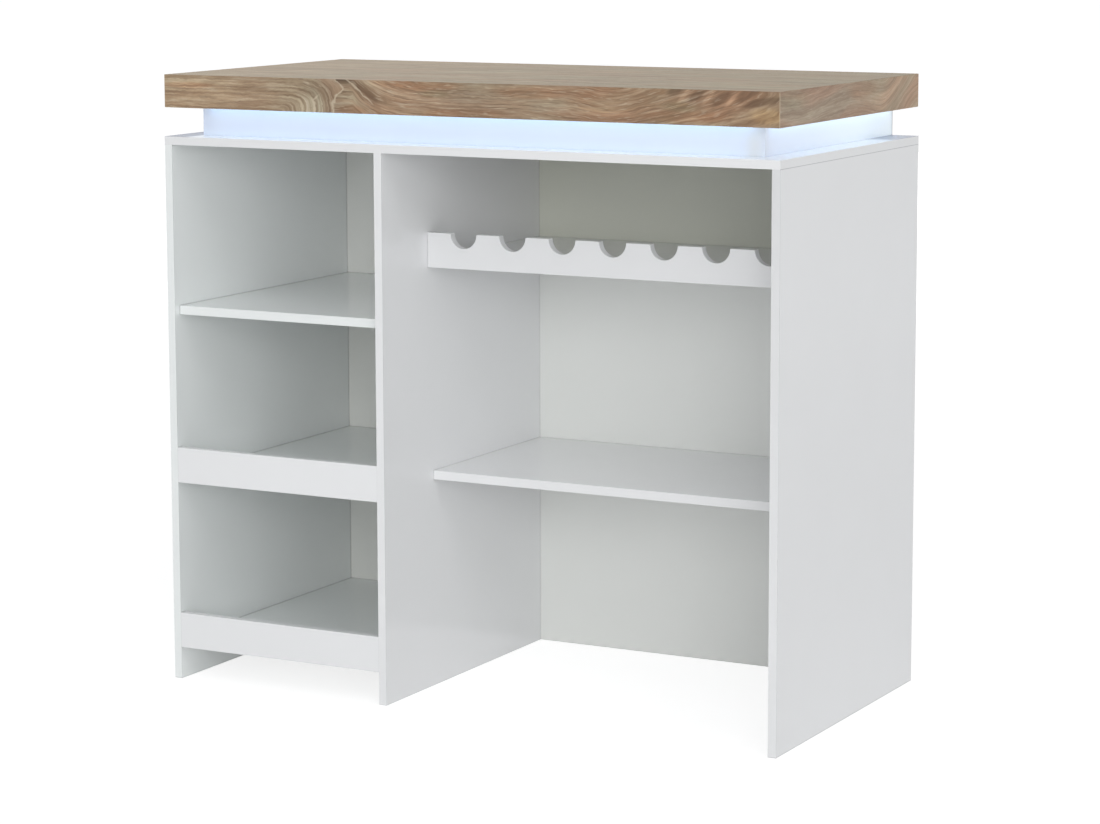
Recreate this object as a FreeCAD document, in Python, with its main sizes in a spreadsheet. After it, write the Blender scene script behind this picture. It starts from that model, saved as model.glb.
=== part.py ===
"""Bar cabinet: open shelves, a notched bottle rack and a lit plinth under an oak-finish worktop.

Millimetres. X runs to the right, Y to the rear and Z up, seen from the open front, and the
origin is at the middle of the floor area that the cabinet covers.
"""
import FreeCAD, Part
import Sketcher
import os

V = FreeCAD.Vector

# Driving sizes. Each is set once, here.
SIZES = {
    # Carcass
    "cabinet_width": 1200,
    "cabinet_depth": 600,
    "carcass_height": 990,
    "panel_thickness": 15,
    "shelf_thickness": 16,
    "left_bay_width": 420,
    # Thin back sheet of the left bay, held in grooves
    "sheet_thickness": 3,
    "sheet_rear_margin": 8.5,
    "groove_depth": 5,
    "groove_clearance": 0.1,
    # Stiff back board of the right bay, with a tongue along each side
    "back_board_inset": 11.5,
    "back_tongue_thickness": 7,
    "back_tongue_length": 5,
    # Stopped housings that take the shelf ends
    "housing_depth": 5,
    "housing_stop": 20,
    # Left shelves, and the lips that a tongue holds to their front edges
    "first_shelf_underside": 58.5,
    "shelf_pitch": 305,
    "lip_thickness": 15,
    "lip_height": 64,
    "tongue_thickness": 6,
    "tongue_length": 6,
    # Right shelf, bottle shelf and its notched rail, whose underside hangs by a drop from the top
    "right_shelf_underside": 378,
    "rail_drop": 228,
    "rail_setback": 155.5,
    "rail_height": 62,
    "notch_radius": 26,
    "notch_pitch": 98,
    "notch_end_margin": 40,
    "notch_easing": 1.5,
    # Lit plinth between the carcass and the worktop
    "plinth_height": 51.5,
    "plinth_setback": 50,
    "plinth_thickness": 15,
    # Worktop: a folded box of mitred boards
    "worktop_height": 58.5,
    "worktop_reveal": 1.5,
    "worktop_board_thickness": 15,
    "rib_thickness": 20,
    # Light strips under the worktop
    "strip_width": 10,
    "strip_height": 3,
    "strip_rounding": 2.4,
    "strip_gap": 5,
    "strip_end_margin": 16,
    # Driver box and power inlet
    "driver_length": 90,
    "driver_width": 44,
    "driver_height": 24,
    "driver_rounding": 3,
    "driver_rear_gap": 30,
    "inlet_from_right": 260,
    "inlet_barrel_radius": 5.8,
    "inlet_barrel_length": 18,
    "inlet_flange_radius": 8,
    "inlet_flange_length": 2,
    "inlet_socket_radius": 2.85,
    "inlet_socket_depth": 9.5,
    # Dowels
    "dowel_radius": 4,
    "dowel_long_end": 20,
    "dowel_short_end": 10,
    "dowel_chamfer": 1,
    "dowel_end_clearance": 0.5,
    "dowel_margin": 60,
    "worktop_dowel_margin": 150,
    # Screws that hold the plinth, driven upwards through the carcass top
    "screw_radius": 2,
    "screw_length": 40,
    "screw_head_radius": 3.4,
    "screw_head_height": 2.2,
    "screw_end_margin": 200,
}

# Places and spans worked out from the driving sizes. "front_to" is a distance behind the front.
PLACES = {
    "left_edge": "-Sizes.cabinet_width / 2",
    "front_edge": "-Sizes.cabinet_depth / 2",
    "upright_height": "Sizes.carcass_height - Sizes.panel_thickness",
    "left_bay_edge": "left_edge + Sizes.panel_thickness",
    "divider_edge": "left_bay_edge + Sizes.left_bay_width",
    "right_bay_edge": "divider_edge + Sizes.panel_thickness",
    "right_panel_edge": "-left_edge - Sizes.panel_thickness",
    "right_bay_width": "right_panel_edge - right_bay_edge",
    "front_to_sheet": "Sizes.cabinet_depth - Sizes.sheet_rear_margin - Sizes.sheet_thickness",
    "front_to_groove": "front_to_sheet - Sizes.groove_clearance",
    "groove_width": "Sizes.sheet_thickness + 2 * Sizes.groove_clearance",
    "groove_bottom": "Sizes.groove_depth + Sizes.groove_clearance",
    "sheet_width": "Sizes.left_bay_width + 2 * Sizes.groove_depth",
    "sheet_height": "upright_height - Sizes.first_shelf_underside + Sizes.groove_depth",
    "left_shelf_depth": "front_to_sheet - Sizes.lip_thickness",
    "front_to_right_shelf": "Sizes.rail_setback + Sizes.lip_thickness",
    "front_to_back_board": "Sizes.cabinet_depth - Sizes.back_board_inset - Sizes.panel_thickness",
    "right_shelf_depth": "front_to_back_board - front_to_right_shelf",
    "middle_shelf_underside": "Sizes.first_shelf_underside + Sizes.shelf_pitch",
    "upper_shelf_underside": "middle_shelf_underside + Sizes.shelf_pitch",
    "tongue_underside": "(Sizes.shelf_thickness - Sizes.tongue_thickness) / 2",
    "rail_underside": "Sizes.carcass_height - Sizes.rail_drop",
    "notch_count": "floor((right_bay_width - 2 * Sizes.notch_end_margin) / Sizes.notch_pitch) + 1",
    "notch_span": "(notch_count - 1) * Sizes.notch_pitch",
    "first_notch": "(right_bay_width - notch_span) / 2",
    "plinth_width": "Sizes.cabinet_width - 2 * Sizes.plinth_setback",
    "plinth_depth": "Sizes.cabinet_depth - Sizes.plinth_setback",
    "plinth_inner_width": "plinth_width - 2 * Sizes.plinth_thickness",
    "plinth_inner_depth": "plinth_depth - 2 * Sizes.plinth_thickness",
    "plinth_left": "left_edge + Sizes.plinth_setback",
    "plinth_front": "front_edge + Sizes.plinth_setback",
    "plinth_rear": "-front_edge - Sizes.plinth_thickness",
    "plinth_middle": "Sizes.plinth_thickness / 2",
    "worktop_underside": "Sizes.carcass_height + Sizes.plinth_height",
    "worktop_width": "Sizes.cabinet_width - 2 * Sizes.worktop_reveal",
    "worktop_left": "left_edge + Sizes.worktop_reveal",
    "worktop_inner_left": "worktop_left + Sizes.worktop_board_thickness",
    "worktop_inner_front": "front_edge + Sizes.worktop_board_thickness",
    "worktop_inner_width": "worktop_width - 2 * Sizes.worktop_board_thickness",
    "worktop_inner_depth": "Sizes.cabinet_depth - 2 * Sizes.worktop_board_thickness",
    "worktop_inner_height": "Sizes.worktop_height - Sizes.worktop_board_thickness",
    "rib_height": "worktop_inner_height - Sizes.worktop_board_thickness",
    "front_strip_length": "plinth_width - 2 * Sizes.strip_end_margin",
    "side_strip_length": "plinth_depth - 2 * Sizes.strip_end_margin",
    "strip_reach": "Sizes.strip_gap + Sizes.strip_width",
    "driver_reach": "Sizes.plinth_thickness + Sizes.driver_rear_gap + Sizes.driver_width",
    "inlet_x": "plinth_left + plinth_width - Sizes.inlet_from_right",
    "inlet_height": "Sizes.plinth_height / 2",
    "dowel_long_bore": "Sizes.dowel_long_end + Sizes.dowel_end_clearance",
    "dowel_short_bore": "Sizes.dowel_short_end + Sizes.dowel_end_clearance",
    "dowel_length": "Sizes.dowel_long_end + Sizes.dowel_short_end",
    "upright_middle": "Sizes.panel_thickness / 2",
    "rear_dowel": "Sizes.cabinet_depth - Sizes.dowel_margin",
    "screw_in_plinth": "Sizes.screw_length - Sizes.panel_thickness",
    "left_screw": "plinth_left + Sizes.screw_end_margin",
    "right_screw": "plinth_left + plinth_width - Sizes.screw_end_margin",
    "middle_screw": "right_bay_edge + Sizes.screw_end_margin",
    "front_plinth_line": "plinth_front + plinth_middle",
    "rear_plinth_line": "plinth_rear + plinth_middle",
    "left_worktop_dowel": "plinth_left + Sizes.worktop_dowel_margin",
    "right_worktop_dowel": "plinth_left + plinth_width - Sizes.worktop_dowel_margin",
}

LEFT_SHELVES = {
    "left_bottom_shelf": "Sizes.first_shelf_underside",
    "left_middle_shelf": "Places.middle_shelf_underside",
    "left_upper_shelf": "Places.upper_shelf_underside",
}
LEFT_LIPS = {
    "left_bottom_lip": "Sizes.first_shelf_underside",
    "left_middle_lip": "Places.middle_shelf_underside",
}
RIGHT_SHELVES = {
    "right_shelf": "Sizes.right_shelf_underside",
    "bottle_shelf": "Places.rail_underside",
}

# Where the plinth's screws and the worktop's dowels stand: X and Y of each.
PLINTH_SCREWS = (
    ("Places.left_screw", "Places.front_plinth_line"),
    ("Places.right_screw", "Places.front_plinth_line"),
    ("Places.middle_screw", "Places.rear_plinth_line"),
    ("Places.right_screw", "Places.rear_plinth_line"),
)
WORKTOP_DOWELS = (
    ("Places.left_worktop_dowel", "Places.front_plinth_line"),
    ("Places.right_worktop_dowel", "Places.front_plinth_line"),
    ("Places.left_worktop_dowel", "Places.rear_plinth_line"),
    ("Places.right_worktop_dowel", "Places.rear_plinth_line"),
)

# The ribs inside the worktop, which part its inner width evenly.
RIBS = ("worktop_rib_left", "worktop_rib_middle", "worktop_rib_right")

# Two lengths that differ by less than this count as equal.
CLOSE = 0.01

doc = FreeCAD.newDocument("BarCabinet")
parts = {}
extents = {}


def make_sheet(name, cells):
    """A spreadsheet with one named cell to a row."""
    sheet = doc.addObject("Spreadsheet::Sheet", name)
    for row, (alias, content) in enumerate(cells.items(), start=1):
        sheet.set("A%d" % row, alias)
        sheet.set("B%d" % row, content)
        sheet.setAlias("B%d" % row, alias)
    doc.recompute()
    return sheet


sizes = make_sheet("Sizes", {alias: str(size) for alias, size in SIZES.items()})
places = make_sheet("Places", {alias: "=" + formula for alias, formula in PLACES.items()})


def number(expression):
    """The present value of one named size or place."""
    sheet, alias = expression.split(".")
    return float(getattr(sizes if sheet == "Sizes" else places, alias))


def add(first, second):
    """The sum of two expressions, where the first may be None for zero."""
    return "%s + %s" % (first, second) if first else second


def new_body(label, x=None, y=None, z=None, keep=True):
    """An empty body, placed by expressions; keep is False for a pattern piece."""
    body = doc.addObject("PartDesign::Body", label)
    body.Label = label
    for axis, place in (("x", x), ("y", y), ("z", z)):
        if place:
            body.setExpression("Placement.Base." + axis, place)
    if keep:
        parts[label] = body
    return body


def new_sketch(body, role, name, offset=None):
    """A sketch on one of the body's own origin planes, moved along its normal by offset."""
    sketch = body.newObject("Sketcher::SketchObject", name)
    plane = [feature for feature in body.Origin.OriginFeatures if feature.Role == role][0]
    sketch.AttachmentSupport = (plane, [""])
    sketch.MapMode = "FlatFace"
    if offset:
        sketch.setExpression("AttachmentOffset.Base.z", offset)
    return sketch


def hold(sketch, kind, element, point, expression):
    """Hold a point of the sketch at a distance from the origin, along X or along Y."""
    if expression is None:
        axis = -2 if kind == "DistanceX" else -1
        sketch.addConstraint(Sketcher.Constraint("PointOnObject", element, point, axis))
        return
    index = sketch.addConstraint(Sketcher.Constraint(kind, -1, 1, element, point, 1.0))
    sketch.setExpression("Constraints[%d]" % index, expression)


def polygon(sketch, corners):
    """A closed outline; each corner is a pair of expressions, None for zero."""
    first = sketch.GeometryCount
    count = len(corners)
    start = [V(1 + index, 1 + index * index, 0) for index in range(count)]
    for index in range(count):
        sketch.addGeometry(Part.LineSegment(start[index], start[(index + 1) % count]), False)
    for index in range(count):
        following = first + (index + 1) % count
        sketch.addConstraint(Sketcher.Constraint("Coincident", first + index, 2, following, 1))
    for index, (x, y) in enumerate(corners):
        hold(sketch, "DistanceX", first + index, 1, x)
        hold(sketch, "DistanceY", first + index, 1, y)


def rectangle(sketch, x, y, width, height):
    """A rectangle from the corner x, y, where None is zero."""
    right = add(x, width)
    upper = add(y, height)
    polygon(sketch, [(x, y), (right, y), (right, upper), (x, upper)])


def circle(sketch, x, y, radius):
    """A circle about x, y."""
    element = sketch.addGeometry(Part.Circle(V(1, 1, 0), V(0, 0, 1), 1.0), False)
    hold(sketch, "DistanceX", element, 3, x)
    hold(sketch, "DistanceY", element, 3, y)
    index = sketch.addConstraint(Sketcher.Constraint("Radius", element, 1.0))
    sketch.setExpression("Constraints[%d]" % index, radius)


def pad(body, sketch, name, length):
    """Pad a sketch along its normal."""
    feature = body.newObject("PartDesign::Pad", "%s_%s" % (body.Label, name))
    feature.Profile = sketch
    feature.setExpression("Length", length)
    doc.recompute()
    return feature


def board(label, width, depth, height, x=None, y=None, z=None):
    """A flat board: its rectangle on the floor plane, padded up to its height."""
    body = new_body(label, x, y, z)
    outline = new_sketch(body, "XY_Plane", label + "_outline")
    rectangle(outline, None, None, width, depth)
    pad(body, outline, "pad", height)
    extents[label] = (width, depth, height)
    return body


def cut(body, face, name, draw, depth):
    """Sink what draw puts on a face of a board by depth, and see that it removed something."""
    width, length, height = extents[body.Label]
    role, offset, inward = {
        "top": ("XY_Plane", height, False),
        "under": ("XY_Plane", None, True),
        "front": ("XZ_Plane", None, False),
        "rear": ("XZ_Plane", "-(%s)" % length, True),
        "left": ("YZ_Plane", None, True),
        "right": ("YZ_Plane", width, False),
    }[face]
    before = body.Shape.Volume
    sketch = new_sketch(body, role, "%s_%s_sketch" % (body.Label, name), offset)
    draw(sketch)
    pocket = body.newObject("PartDesign::Pocket", "%s_%s" % (body.Label, name))
    pocket.Profile = sketch
    pocket.setExpression("Length", depth)
    pocket.Reversed = inward
    doc.recompute()
    if not body.Shape.Volume < before:
        raise ValueError("%s: %s removed nothing" % (body.Label, name))
    return pocket


def bores(body, face, name, centres, radius, depth):
    """Round holes at the centres, all of one radius and depth."""
    def draw(sketch):
        for x, y in centres:
            circle(sketch, x, y, radius)
    return cut(body, face, name, draw, depth)


def slots(body, face, name, rectangles, depth):
    """Rectangular cuts: corner, width and height of each."""
    def draw(sketch):
        for corner_x, corner_y, width, height in rectangles:
            rectangle(sketch, corner_x, corner_y, width, height)
    return cut(body, face, name, draw, depth)


def fillet(body, name, test, radius):
    """Round the edges that pass a test."""
    base = body.Tip
    names = ["Edge%d" % (index + 1) for index, edge in enumerate(base.Shape.Edges) if test(edge)]
    feature = body.newObject("PartDesign::Fillet", "%s_%s" % (body.Label, name))
    feature.Base = (base, names)
    feature.setExpression("Radius", radius)
    doc.recompute()
    return feature


def turned(label, outline, keep=False):
    """A piece turned about Z from a half outline of radius and height pairs."""
    body = new_body(label, keep=keep)
    sketch = new_sketch(body, "XZ_Plane", label + "_outline")
    polygon(sketch, outline)
    turn = body.newObject("PartDesign::Revolution", label + "_turn")
    turn.Profile = sketch
    turn.ReferenceAxis = (sketch, ["V_Axis"])
    turn.Angle = 360
    doc.recompute()
    return body


def mitred(label, role, near, far, thickness, x, y, z):
    """A board whose near outline differs from its far one, so that its edges are mitres."""
    body = new_body(label, x, y, z)
    near_sketch = new_sketch(body, role, label + "_near")
    rectangle(near_sketch, *near)
    offset = "-(%s)" % thickness if role == "XZ_Plane" else thickness
    far_sketch = new_sketch(body, role, label + "_far", offset)
    rectangle(far_sketch, *far)
    loft = body.newObject("PartDesign::AdditiveLoft", label + "_loft")
    loft.Profile = near_sketch
    loft.Sections = [far_sketch]
    loft.Ruled = True
    doc.recompute()
    return body


def group(label, shape, placements):
    """One node of several separate solids: a shape repeated at each placement."""
    solids = []
    for placement in placements:
        solid = shape.copy()
        solid.Placement = placement.multiply(solid.Placement)
        solids.append(solid)
    feature = doc.addObject("Part::Feature", label)
    feature.Label = label
    feature.Shape = Part.makeCompound(solids)
    feature.Placement = FreeCAD.Placement()
    parts[label] = feature


def standing(direction, point):
    """A placement that lays a piece's own +Z along direction, with its origin at point."""
    return FreeCAD.Placement(point, FreeCAD.Rotation(V(0, 0, 1), direction))


def upright(label, x):
    """A full-height board of the carcass, with the dowel bores of the top in its upper edge."""
    body = board(label, "Sizes.panel_thickness", "Sizes.cabinet_depth", "Places.upright_height",
                 x, "Places.front_edge")
    centres = [("Places.upright_middle", "Sizes.dowel_margin"),
               ("Places.upright_middle", "Places.rear_dowel")]
    bores(body, "top", "dowel_bores", centres, "Sizes.dowel_radius", "Places.dowel_long_bore")
    return body


def fit_left_bay(body, face):
    """Housings of the three left shelves and the groove of the thin sheet, on one upright."""
    start = "Sizes.lip_thickness + Sizes.housing_stop"
    length = "Places.left_shelf_depth - Sizes.housing_stop"
    slots(body, face, "left_housings",
          [(start, underside, length, "Sizes.shelf_thickness")
           for underside in LEFT_SHELVES.values()], "Sizes.housing_depth")
    slots(body, face, "sheet_groove",
          [("Places.front_to_groove", None, "Places.groove_width", "Places.upright_height")],
          "Places.groove_bottom")


def fit_right_bay(body, face):
    """Housings of the two right shelves and the groove of the back board, on one upright."""
    start = "Places.front_to_right_shelf + Sizes.housing_stop"
    length = "Places.right_shelf_depth - Sizes.housing_stop"
    slots(body, face, "right_housings",
          [(start, underside, length, "Sizes.shelf_thickness")
           for underside in RIGHT_SHELVES.values()], "Sizes.housing_depth")
    slots(body, face, "back_board_groove",
          [("Places.front_to_back_board", None, "Sizes.back_tongue_thickness",
            "Places.upright_height")], "Sizes.back_tongue_length")


def make_uprights():
    """Left side, divider and right side."""
    left = upright("left_side_panel", "Places.left_edge")
    fit_left_bay(left, "right")
    divider = upright("divider_panel", "Places.divider_edge")
    fit_left_bay(divider, "left")
    fit_right_bay(divider, "right")
    right = upright("right_side_panel", "Places.right_panel_edge")
    fit_right_bay(right, "left")


def make_carcass_top():
    """The top lies over the uprights, doweled to them and grooved for the thin sheet."""
    body = board("carcass_top_panel", "Sizes.cabinet_width", "Sizes.cabinet_depth",
                 "Sizes.panel_thickness", "Places.left_edge", "Places.front_edge",
                 "Places.upright_height")
    dowels = [("%s - Places.left_edge + Places.upright_middle" % edge, along)
              for edge in ("Places.left_edge", "Places.divider_edge", "Places.right_panel_edge")
              for along in ("Sizes.dowel_margin", "Places.rear_dowel")]
    bores(body, "under", "dowel_bores", dowels, "Sizes.dowel_radius", "Places.dowel_short_bore")
    slots(body, "under", "sheet_groove",
          [("Sizes.panel_thickness - Places.groove_bottom", "Places.front_to_groove",
            "Sizes.left_bay_width + 2 * Places.groove_bottom", "Places.groove_width")],
          "Places.groove_bottom")
    screws = [(x + " - Places.left_edge", y + " - Places.front_edge") for x, y in PLINTH_SCREWS]
    bores(body, "under", "screw_bores", screws, "Sizes.screw_radius", "Sizes.panel_thickness")


def make_backs():
    """The thin sheet behind the left bay and the stiff board behind the right one."""
    board("left_back_sheet", "Places.sheet_width", "Sizes.sheet_thickness", "Places.sheet_height",
          "Places.left_bay_edge - Sizes.groove_depth",
          "Places.front_edge + Places.front_to_sheet", "Sizes.first_shelf_underside")

    back = new_body("right_back_board", "Places.right_bay_edge - Sizes.back_tongue_length",
                    "Places.front_edge + Places.front_to_back_board")
    outline = new_sketch(back, "XY_Plane", "right_back_board_outline")
    shoulder = "Sizes.back_tongue_length"
    far_shoulder = "Sizes.back_tongue_length + Places.right_bay_width"
    far_tip = "2 * Sizes.back_tongue_length + Places.right_bay_width"
    tongue = "Sizes.back_tongue_thickness"
    rear = "Sizes.panel_thickness"
    polygon(outline, [(None, None), (far_tip, None), (far_tip, tongue), (far_shoulder, tongue),
                      (far_shoulder, rear), (shoulder, rear), (shoulder, tongue), (None, tongue)])
    pad(back, outline, "pad", "Places.upright_height")


def shelf(label, width, depth, x, front, z, lipped):
    """A shelf whose ends reach into the housings, with a tongue in front where a lip goes on."""
    tip = "Sizes.tongue_length" if lipped else None
    body = new_body(label, x + " - Sizes.housing_depth",
                    front + " - Sizes.tongue_length" if lipped else front, z)
    left = "Sizes.housing_depth"
    right = "%s + Sizes.housing_depth" % width
    far_end = "%s + 2 * Sizes.housing_depth" % width
    shoulder = add(tip, "Sizes.housing_stop")
    rear = add(tip, depth)
    outline = new_sketch(body, "XY_Plane", label + "_outline")
    polygon(outline, [(left, tip), (right, tip), (right, shoulder), (far_end, shoulder),
                      (far_end, rear), (None, rear), (None, shoulder), (left, shoulder)])
    pad(body, outline, "pad", "Sizes.shelf_thickness")
    if lipped:
        tongue = new_sketch(body, "XY_Plane", label + "_tongue_outline", "Places.tongue_underside")
        rectangle(tongue, left, None, width, tip)
        pad(body, tongue, "tongue", "Sizes.tongue_thickness")
    return body


def front_piece(label, width, height, x, y, z):
    """A lip or rail on the front edge of a shelf, grooved for the shelf's tongue."""
    body = board(label, width, "Sizes.lip_thickness", height, x, y, z)
    slots(body, "rear", "groove",
          [(None, "Places.tongue_underside", width, "Sizes.tongue_thickness")],
          "Sizes.tongue_length")
    return body


def make_left_bay():
    """Three shelves, the lower two with a lip along the front edge."""
    for label, underside in LEFT_SHELVES.items():
        shelf(label, "Sizes.left_bay_width", "Places.left_shelf_depth", "Places.left_bay_edge",
              "Places.front_edge + Sizes.lip_thickness", underside,
              underside in LEFT_LIPS.values())
    for label, underside in LEFT_LIPS.items():
        front_piece(label, "Sizes.left_bay_width", "Sizes.lip_height", "Places.left_bay_edge",
                    "Places.front_edge", underside)


def make_right_bay():
    """The open shelf, and the bottle shelf behind its notched rail."""
    for label, underside in RIGHT_SHELVES.items():
        shelf(label, "Places.right_bay_width", "Places.right_shelf_depth",
              "Places.right_bay_edge", "Places.front_edge + Places.front_to_right_shelf",
              underside, label == "bottle_shelf")
    make_bottle_rail()


def make_bottle_rail():
    """The rail in front of the bottle shelf: a row of half-round notches for bottle necks."""
    rail = front_piece("bottle_rail", "Places.right_bay_width", "Sizes.rail_height",
                       "Places.right_bay_edge", "Places.front_edge + Sizes.rail_setback",
                       "Places.rail_underside")
    notch = bores(rail, "front", "notch", [("Places.first_notch", "Sizes.rail_height")],
                  "Sizes.notch_radius", "Sizes.lip_thickness")
    row = rail.newObject("PartDesign::LinearPattern", "bottle_rail_notch_row")
    row.Originals = [notch]
    row.Direction = (notch.Profile[0], ["H_Axis"])
    row.setExpression("Length", "Places.notch_span")
    row.setExpression("Occurrences", "Places.notch_count")
    rail.Tip = row
    doc.recompute()

    top = number("Sizes.rail_height")
    right = number("Places.right_bay_width")
    thickness = number("Sizes.lip_thickness")

    def is_notch_corner(edge):
        """An edge through the rail's thickness, where a notch meets its top."""
        box = edge.BoundBox
        crosses = abs(box.YLength - thickness) < CLOSE and box.XLength < CLOSE
        return crosses and abs(box.ZMin - top) < CLOSE and CLOSE < box.XMin < right - CLOSE
    fillet(rail, "notch_easing", is_notch_corner, "Sizes.notch_easing")


def make_plinth():
    """Four mitred boards and one cross rail, with the bores of screws, dowels and inlet."""
    width = "Places.plinth_width"
    depth = "Places.plinth_depth"
    height = "Sizes.plinth_height"
    wall = "Sizes.plinth_thickness"
    outer = (None, None, width, height)
    inner = (wall, None, "Places.plinth_inner_width", height)
    side_outer = (None, None, depth, height)
    side_inner = (wall, None, "Places.plinth_inner_depth", height)
    left = "Places.plinth_left"
    front = "Places.plinth_front"
    base = "Sizes.carcass_height"
    front_board = mitred("front_plinth_board", "XZ_Plane", outer, inner, wall, left, front, base)
    rear_board = mitred("rear_plinth_board", "XZ_Plane", inner, outer, wall,
                        left, "Places.plinth_rear", base)
    mitred("left_plinth_board", "YZ_Plane", side_outer, side_inner, wall, left, front, base)
    mitred("right_plinth_board", "YZ_Plane", side_inner, side_outer, wall,
           "%s + %s - %s" % (left, width, wall), front, base)
    board("plinth_cross_rail", wall, "Places.plinth_inner_depth", height,
          "-Places.plinth_middle", "%s + %s" % (front, wall), base)

    for body, line in ((front_board, "Places.front_plinth_line"),
                       (rear_board, "Places.rear_plinth_line")):
        extents[body.Label] = (width, wall, height)
        screws = [(x + " - Places.plinth_left", "Places.plinth_middle")
                  for x, y in PLINTH_SCREWS if y == line]
        bores(body, "under", "screw_bores", screws, "Sizes.screw_radius",
              "Places.screw_in_plinth")
        dowels = [(x + " - Places.plinth_left", "Places.plinth_middle")
                  for x, y in WORKTOP_DOWELS if y == line]
        bores(body, "top", "dowel_bores", dowels, "Sizes.dowel_radius", "Places.dowel_long_bore")
    inlet = [("Places.inlet_x - Places.plinth_left", "Places.inlet_height")]
    bores(rear_board, "rear", "inlet_bore", inlet, "Sizes.inlet_barrel_radius", wall)
    bores(rear_board, "rear", "inlet_seat", inlet, "Sizes.inlet_flange_radius",
          "Sizes.inlet_flange_length")


def make_worktop():
    """A folded box: a mitred top board, four mitred aprons, a base board and three ribs."""
    wall = "Sizes.worktop_board_thickness"
    width = "Places.worktop_width"
    depth = "Sizes.cabinet_depth"
    height = "Sizes.worktop_height"
    inner_width = "Places.worktop_inner_width"
    inner_depth = "Places.worktop_inner_depth"
    inner_height = "Places.worktop_inner_height"
    left = "Places.worktop_left"
    front = "Places.front_edge"
    under = "Places.worktop_underside"
    outer = (None, None, width, height)
    inner = (wall, None, inner_width, inner_height)
    side_outer = (None, None, depth, height)
    side_inner = (wall, None, inner_depth, inner_height)
    mitred("worktop_top_board", "XY_Plane", (wall, wall, inner_width, inner_depth),
           (None, None, width, depth), wall, left, front, under + " + " + inner_height)
    mitred("worktop_front_apron", "XZ_Plane", outer, inner, wall, left, front, under)
    rear = mitred("worktop_rear_apron", "XZ_Plane", inner, outer, wall,
                  left, "%s + %s - %s" % (front, depth, wall), under)
    mitred("worktop_left_apron", "YZ_Plane", side_outer, side_inner, wall, left, front, under)
    mitred("worktop_right_apron", "YZ_Plane", side_inner, side_outer, wall,
           "%s + %s - %s" % (left, width, wall), front, under)

    base = board("worktop_base_board", inner_width, inner_depth, wall,
                 "Places.worktop_inner_left", "Places.worktop_inner_front", under)
    in_base = [(x + " - Places.worktop_inner_left", y + " - Places.worktop_inner_front")
               for x, y in WORKTOP_DOWELS if y == "Places.front_plinth_line"]
    bores(base, "under", "dowel_bores", in_base, "Sizes.dowel_radius", "Places.dowel_short_bore")
    extents[rear.Label] = (width, wall, height)
    in_apron = [(x + " - " + left, wall + " / 2")
                for x, y in WORKTOP_DOWELS if y == "Places.rear_plinth_line"]
    bores(rear, "under", "dowel_bores", in_apron, "Sizes.dowel_radius", "Places.dowel_short_bore")
    gaps = len(RIBS) + 1
    for index, label in enumerate(RIBS, start=1):
        middle = "%s + %s * %d / %d" % ("Places.worktop_inner_left", inner_width, index, gaps)
        board(label, "Sizes.rib_thickness", inner_depth, "Places.rib_height",
              middle + " - Sizes.rib_thickness / 2", "Places.worktop_inner_front",
              "%s + %s" % (under, wall))


def light_strip(label, width, depth, x, y):
    """A light strip under the worktop, with its long lower edges rounded."""
    strip = board(label, width, depth, "Sizes.strip_height", x, y,
                  "Places.worktop_underside - Sizes.strip_height")
    longest = max(number(width), number(depth))

    def is_long_and_low(edge):
        return abs(edge.Length - longest) < CLOSE and edge.BoundBox.ZMax < CLOSE
    fillet(strip, "rounding", is_long_and_low, "Sizes.strip_rounding")


def make_light_strips():
    """Three strips under the worktop, in front of the plinth and beside it."""
    margin = "Sizes.strip_end_margin"
    light_strip("front_light_strip", "Places.front_strip_length", "Sizes.strip_width",
                "Places.plinth_left + " + margin, "Places.plinth_front - Places.strip_reach")
    light_strip("left_light_strip", "Sizes.strip_width", "Places.side_strip_length",
                "Places.plinth_left - Places.strip_reach", "Places.plinth_front + " + margin)
    light_strip("right_light_strip", "Sizes.strip_width", "Places.side_strip_length",
                "Places.plinth_left + Places.plinth_width + Sizes.strip_gap",
                "Places.plinth_front + " + margin)


def make_power():
    """The driver box inside the plinth and the low-voltage inlet in its rear board."""
    driver = board("light_driver", "Sizes.driver_length", "Sizes.driver_width",
                   "Sizes.driver_height", "Places.inlet_x - Sizes.driver_length / 2",
                   "-Places.front_edge - Places.driver_reach", "Sizes.carcass_height")
    height = number("Sizes.driver_height")

    def is_upright(edge):
        return abs(edge.BoundBox.ZLength - height) < CLOSE
    fillet(driver, "rounding", is_upright, "Sizes.driver_rounding")

    length = "Sizes.inlet_barrel_length"
    neck = "Sizes.inlet_barrel_length - Sizes.inlet_flange_length"
    socket = "Sizes.inlet_barrel_length - Sizes.inlet_socket_depth"
    inlet = turned("power_inlet", [
        (None, None), ("Sizes.inlet_barrel_radius", None), ("Sizes.inlet_barrel_radius", neck),
        ("Sizes.inlet_flange_radius", neck), ("Sizes.inlet_flange_radius", length),
        ("Sizes.inlet_socket_radius", length), ("Sizes.inlet_socket_radius", socket),
        (None, socket)], keep=True)
    inlet.Placement = FreeCAD.Placement(V(), FreeCAD.Rotation(V(0, 0, 1), V(0, 1, 0)))
    inlet.setExpression("Placement.Base.x", "Places.inlet_x")
    inlet.setExpression("Placement.Base.y", "-Places.front_edge - " + length)
    inlet.setExpression("Placement.Base.z", "Sizes.carcass_height + Places.inlet_height")


def dowel_shape():
    """A dowel with chamfered ends: the short end below zero and the long end above it."""
    tip = "Sizes.dowel_radius - Sizes.dowel_chamfer"
    dowel = turned("dowel_pattern", [
        (None, None), (tip, None), ("Sizes.dowel_radius", "Sizes.dowel_chamfer"),
        ("Sizes.dowel_radius", "Places.dowel_length - Sizes.dowel_chamfer"),
        (tip, "Places.dowel_length"), (None, "Places.dowel_length")])
    shape = dowel.Shape.copy()
    shape.translate(V(0, 0, -number("Sizes.dowel_short_end")))
    return shape


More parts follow.
